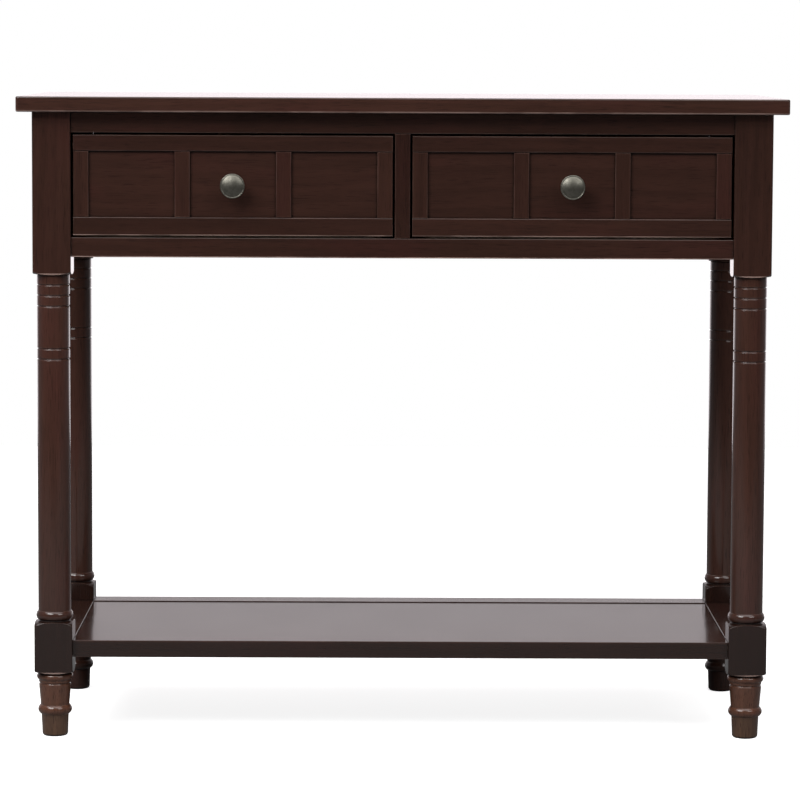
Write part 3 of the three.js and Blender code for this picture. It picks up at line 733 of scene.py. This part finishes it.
def build_leg(node):
    low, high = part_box(node)
    centre = (low + high) / 2
    half = (high.x - low.x) / 2 / MM
    angles = leg_directions()
    reaches = [blank_radius(angle, half, LEG_CORNER_RADIUS) for angle in angles]
    directions = [(math.cos(angle), math.sin(angle)) for angle in angles]

    def radius_at(radius, index):
        return min(radius, reaches[index]), directions[index]

    def place(x, y, z):
        return (centre.x + x * MM, centre.y + y * MM, z * MM)

    rows = leg_rows(high.z / MM)
    mesh = revolved(f"{node}_turned", rows, len(angles), radius_at, place)
    smooth_faces(mesh, 50.0)
    finished(f"{node}_turned", mesh, node)


# ---------------------------------------------------------------- knobs


def knob_rows(projection):
    """The knob's profile from its seat to the top of its dome, as (radius, distance) in millimetres."""
    rows = [
        (0.0, KNOB_SEAT),
        (KNOB_BASE_RADIUS - 0.3, KNOB_SEAT),
        (KNOB_BASE_RADIUS, KNOB_SEAT + 0.3),
        (KNOB_BASE_RADIUS, KNOB_BASE_HEIGHT - 0.4),
        (KNOB_BASE_RADIUS - 0.4, KNOB_BASE_HEIGHT),
        (KNOB_NECK_RADIUS + 0.6, KNOB_BASE_HEIGHT + 0.5),
        (KNOB_NECK_RADIUS, KNOB_BASE_HEIGHT + 1.4),
    ]
    flare_radius = KNOB_RADIUS - KNOB_FLARE_STEP
    flare_rise = KNOB_RIM_HEIGHT - KNOB_NECK_HEIGHT
    flare_steps = 14
    for i in range(flare_steps + 1):
        angle = math.pi / 2 * i / flare_steps
        radius = flare_radius - (flare_radius - KNOB_NECK_RADIUS) * math.cos(angle)
        rows.append((radius, KNOB_NECK_HEIGHT + flare_rise * math.sin(angle)))
    rim_top = KNOB_RIM_HEIGHT + KNOB_RIM_THICKNESS
    rim_edge = rim_top - KNOB_RIM_DROP
    rows += [
        (KNOB_RADIUS, rim_edge - KNOB_RIM_ROUNDING),
        (KNOB_RADIUS - 0.04, rim_edge),
        (KNOB_RADIUS - KNOB_RIM_WIDTH, rim_top),
    ]

    # A fine turned line parts the rim from the dome, whose face is an arc of a sphere.
    valley = rim_top - KNOB_LINE_DEPTH
    rows += [
        (KNOB_RADIUS - KNOB_RIM_WIDTH - 0.25, rim_top - 0.08),
        (KNOB_DOME_RADIUS + 0.1, valley),
    ]
    rise = projection - valley
    sphere_radius = (KNOB_DOME_RADIUS**2 + rise**2) / (2 * rise)
    dome_angle = math.asin(KNOB_DOME_RADIUS / sphere_radius)
    dome_steps = 20
    for i in range(dome_steps + 1):
        angle = dome_angle * (1 - i / dome_steps)
        drop = sphere_radius * (1 - math.cos(angle))
        rows.append((sphere_radius * math.sin(angle), projection - drop))
    return rows


def build_knob(node):
    low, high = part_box(node)
    centre = (low + high) / 2
    projection = (high.y - low.y) / MM + KNOB_SEAT
    panel_face = high.y + KNOB_SEAT * MM
    angles = [2 * math.pi * i / KNOB_SIDES for i in range(KNOB_SIDES)]
    directions = [(math.cos(angle), math.sin(angle)) for angle in angles]

    def radius_at(radius, index):
        return radius, directions[index]

    def place(x, y, out):
        return (centre.x + x * MM, panel_face - out * MM, centre.z + y * MM)

    mesh = revolved(f"{node}_cast", knob_rows(projection), KNOB_SIDES, radius_at, place)
    smooth_faces(mesh, 55.0)
    finished(f"{node}_cast", mesh, node)


# ---------------------------------------------------------------- boards


def round_edges(shape, edges, width, segments):
    bmesh.ops.bevel(
        shape,
        geom=edges,
        offset=width * MM,
        offset_type="OFFSET",
        segments=segments,
        profile=0.5,
        affect="EDGES",
        clamp_overlap=True,
    )


def eased_copy(node, easing):
    """The node's own solid, its flat faces joined: long edges rounded over, and end edges just broken."""
    shape = bmesh.new()
    shape.from_mesh(frame["nodes"][node].data)
    bmesh.ops.remove_doubles(shape, verts=shape.verts, dist=0.001 * MM)
    bmesh.ops.dissolve_limit(
        shape, angle_limit=math.radians(1.0), verts=shape.verts, edges=shape.edges, delimit=set()
    )
    low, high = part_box(node)
    size = high - low
    grain_axis = max(range(3), key=lambda i: size[i])

    def sharp_edges(angle, along_grain):
        edges = []
        for edge in shape.edges:
            run = edge.verts[1].co - edge.verts[0].co
            is_along = abs(run[grain_axis]) > 0.99 * run.length
            is_sharp = len(edge.link_faces) == 2 and edge.calc_face_angle() > math.radians(angle)
            if is_sharp and is_along == along_grain:
                edges.append(edge)
        return edges

    round_edges(shape, sharp_edges(20, True), easing, 3)
    round_edges(shape, sharp_edges(50, False), min(easing, END_EASING), 1)
    bmesh.ops.recalc_face_normals(shape, faces=shape.faces)
    mesh = bpy.data.meshes.new(f"{node}_eased")
    shape.to_mesh(mesh)
    shape.free()
    mesh.polygons.foreach_set("use_smooth", [True] * len(mesh.polygons))
    return mesh


def easing_for(node):
    if "_face_" in node:
        return STRIP_EASING
    if node.startswith("shelf_"):
        return SHELF_EASING
    slot = slot_of_node[node]
    if slot == "espresso_wood":
        return SHOW_EASING
    if slot == "zinc_steel":
        return METAL_EASING
    return INNER_EASING


def keep_faces_flat(piece):
    """Lets the large faces of a board set its shading, so that only its edges look round."""
    weighting = piece.modifiers.new("flat faces", "WEIGHTED_NORMAL")
    weighting.keep_sharp = True
    weighting.weight = 100


def build_board(node, easing):
    keep_faces_flat(finished(f"{node}_eased", eased_copy(node, easing), node))


def build_tabletop(node):
    """The top: a slab with rounded corners in plan and a quarter-round along its upper and lower edges."""
    low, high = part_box(node)
    easing = TABLETOP_EASING * MM
    corner = TABLETOP_CORNER_RADIUS * MM
    corner_steps = 8
    easing_steps = 6
    insets = []
    for i in range(easing_steps + 1):
        angle = math.pi / 2 * i / easing_steps
        insets.append((easing * (1 - math.sin(angle)), easing * (1 - math.cos(angle))))
    levels = [(inset, low.z + rise) for inset, rise in insets]
    levels += [(inset, high.z - rise) for inset, rise in reversed(insets)]
    outline = []
    for quarter in range(4):
        for i in range(corner_steps + 1):
            outline.append(math.pi / 2 * (quarter + i / corner_steps))
    shape = bmesh.new()
    rings = []
    for inset, height in levels:
        ring = []
        for index, angle in enumerate(outline):
            quarter = index // (corner_steps + 1)
            side_x = 1 if quarter in (0, 3) else -1
            side_y = 1 if quarter in (0, 1) else -1
            centre_x = (high.x if side_x > 0 else low.x) - side_x * corner
            centre_y = (high.y if side_y > 0 else low.y) - side_y * corner
            reach = corner - inset
            x = centre_x + reach * math.cos(angle)
            y = centre_y + reach * math.sin(angle)
            ring.append(shape.verts.new((x, y, height)))
        rings.append(ring)
    for lower, upper in zip(rings, rings[1:]):
        for i in range(len(lower)):
            j = (i + 1) % len(lower)
            shape.faces.new((lower[i], lower[j], upper[j], upper[i]))
    shape.faces.new(list(reversed(rings[0])))
    shape.faces.new(rings[-1])
    mesh = bpy.data.meshes.new(f"{node}_shaped")
    shape.to_mesh(mesh)
    shape.free()
    mesh.polygons.foreach_set("use_smooth", [True] * len(mesh.polygons))
    keep_faces_flat(finished(f"{node}_shaped", mesh, node))


def build_pieces():
    for node in sorted(frame["nodes"]):
        if node.endswith("_leg"):
            build_leg(node)
        elif node.endswith("_knob"):
            build_knob(node)
        elif node == "tabletop":
            build_tabletop(node)
        else:
            build_board(node, easing_for(node))


# ---------------------------------------------------------------- studio


def build_floor():
    """A pale lit floor. It ends in front of the table, so that the table faces a darker room."""
    mesh = bpy.data.meshes.new("studio_floor")
    front, side, back = -FLOOR_FRONT, FLOOR_SIDE, FLOOR_BACK
    corners = [(-side, front, 0), (side, front, 0), (side, back, 0), (-side, back, 0)]
    mesh.from_pydata(corners, [], [(0, 1, 2, 3)])
    floor = bpy.data.objects.new("studio_floor", mesh)
    bpy.context.scene.collection.objects.link(floor)
    material, tree, shader = new_material("studio_floor")
    place = add_node(tree, "ShaderNodeTexCoord").outputs["Object"]
    mottle = noise(tree, place, 3.0, 3.0, 0.5).outputs["Fac"]
    tone = blend_colours(tree, mottle, (0.76, 0.76, 0.76), (0.80, 0.80, 0.80))
    tree.links.new(tone, shader.inputs["Base Color"])
    shader.inputs["Roughness"].default_value = 0.9
    shader.inputs["Specular IOR Level"].default_value = 0.1
    shader.inputs["Emission Color"].default_value = (1.0, 1.0, 1.0, 1.0)
    shader.inputs["Emission Strength"].default_value = FLOOR_GLOW

    # The floor shows pale, but throws back less light, so that the dark lacquer stays dark.
    bounce_tone = (FLOOR_BOUNCE, FLOOR_BOUNCE, FLOOR_BOUNCE, 1.0)
    dim = add_node(tree, "ShaderNodeBsdfDiffuse", None, Color=bounce_tone)
    seen = add_node(tree, "ShaderNodeLightPath").outputs["Is Camera Ray"]
    mix = add_node(tree, "ShaderNodeMixShader", None, _0=seen, _1=dim.outputs[0], _2=shader.outputs[0])
    tree.links.new(mix.outputs[0], tree.nodes["Material Output"].inputs["Surface"])
    mesh.materials.append(material)


def build_world():
    """A pale studio: a bright sweep behind the table, and a dim room on the side that it faces."""
    world = bpy.data.worlds.new("studio")
    bpy.context.scene.world = world
    world.use_nodes = True
    tree = world.node_tree
    tree.nodes.clear()
    output = tree.nodes.new("ShaderNodeOutputWorld")
    direction = add_node(tree, "ShaderNodeTexCoord").outputs["Generated"]
    split = add_node(tree, "ShaderNodeSeparateXYZ", None, Vector=direction)
    foot = remap(tree, split.outputs["Z"], 0.11, 0.03, SWEEP_LIGHT, SWEEP_FOOT_LIGHT)
    sides = remap(tree, split.outputs["Y"], -0.6, 0.1, ROOM_LIGHT, SIDE_LIGHT)
    share = remap(tree, split.outputs["Y"], 0.5, 0.93)
    behind = math_node(tree, "MULTIPLY_ADD", share, math_node(tree, "SUBTRACT", foot, sides), sides)
    light = add_node(tree, "ShaderNodeBackground", None, Color=SWEEP_TINT, Strength=behind)
    backdrop = add_node(tree, "ShaderNodeBackground", None, Color=(1.0, 1.0, 1.0, 1.0), Strength=1.0)
    seen = add_node(tree, "ShaderNodeLightPath").outputs["Is Camera Ray"]
    mix = add_node(tree, "ShaderNodeMixShader", None, _0=seen, _1=light.outputs[0], _2=backdrop.outputs[0])
    tree.links.new(mix.outputs[0], output.inputs["Surface"])


def build_softbox(name, place, target, width, height, power):
    light = bpy.data.lights.new(name, "AREA")
    light.shape = "RECTANGLE"
    light.size = width
    light.size_y = height
    light.energy = power
    lamp = bpy.data.objects.new(name, light)
    bpy.context.scene.collection.objects.link(lamp)
    lamp.location = place
    lamp.rotation_euler = (Vector(target) - Vector(place)).to_track_quat("-Z", "Y").to_euler()
    lamp.visible_camera = False


def build_lights():
    middle = (cad_low + cad_high) / 2
    for name, (place, width, height, power) in SOFTBOXES.items():
        build_softbox(name, place, middle, width, height, power)


def build_camera():
    camera = bpy.data.cameras.new("camera")
    camera.sensor_width = 36.0
    camera.lens = CAMERA_LENS
    camera.clip_start = 0.1
    camera.clip_end = 200.0
    holder = bpy.data.objects.new("camera", camera)
    bpy.context.scene.collection.objects.link(holder)
    turn = (
        Matrix.Rotation(-CAMERA_YAW_RIGHT, 4, "Z")
        @ Matrix.Rotation(math.pi / 2 - CAMERA_PITCH_DOWN, 4, "X")
        @ Matrix.Rotation(CAMERA_ROLL, 4, "Z")
    )
    holder.matrix_world = Matrix.Translation(CAMERA_AT) @ turn
    bpy.context.scene.camera = holder


def set_view():
    scene = bpy.context.scene
    scene.view_settings.view_transform = "Standard"
    scene.view_settings.look = "None"
    scene.cycles.use_denoising = True


build_camera()
build_pieces()
build_floor()
build_world()
build_lights()
set_view()

bpy.context.view_layer.update()
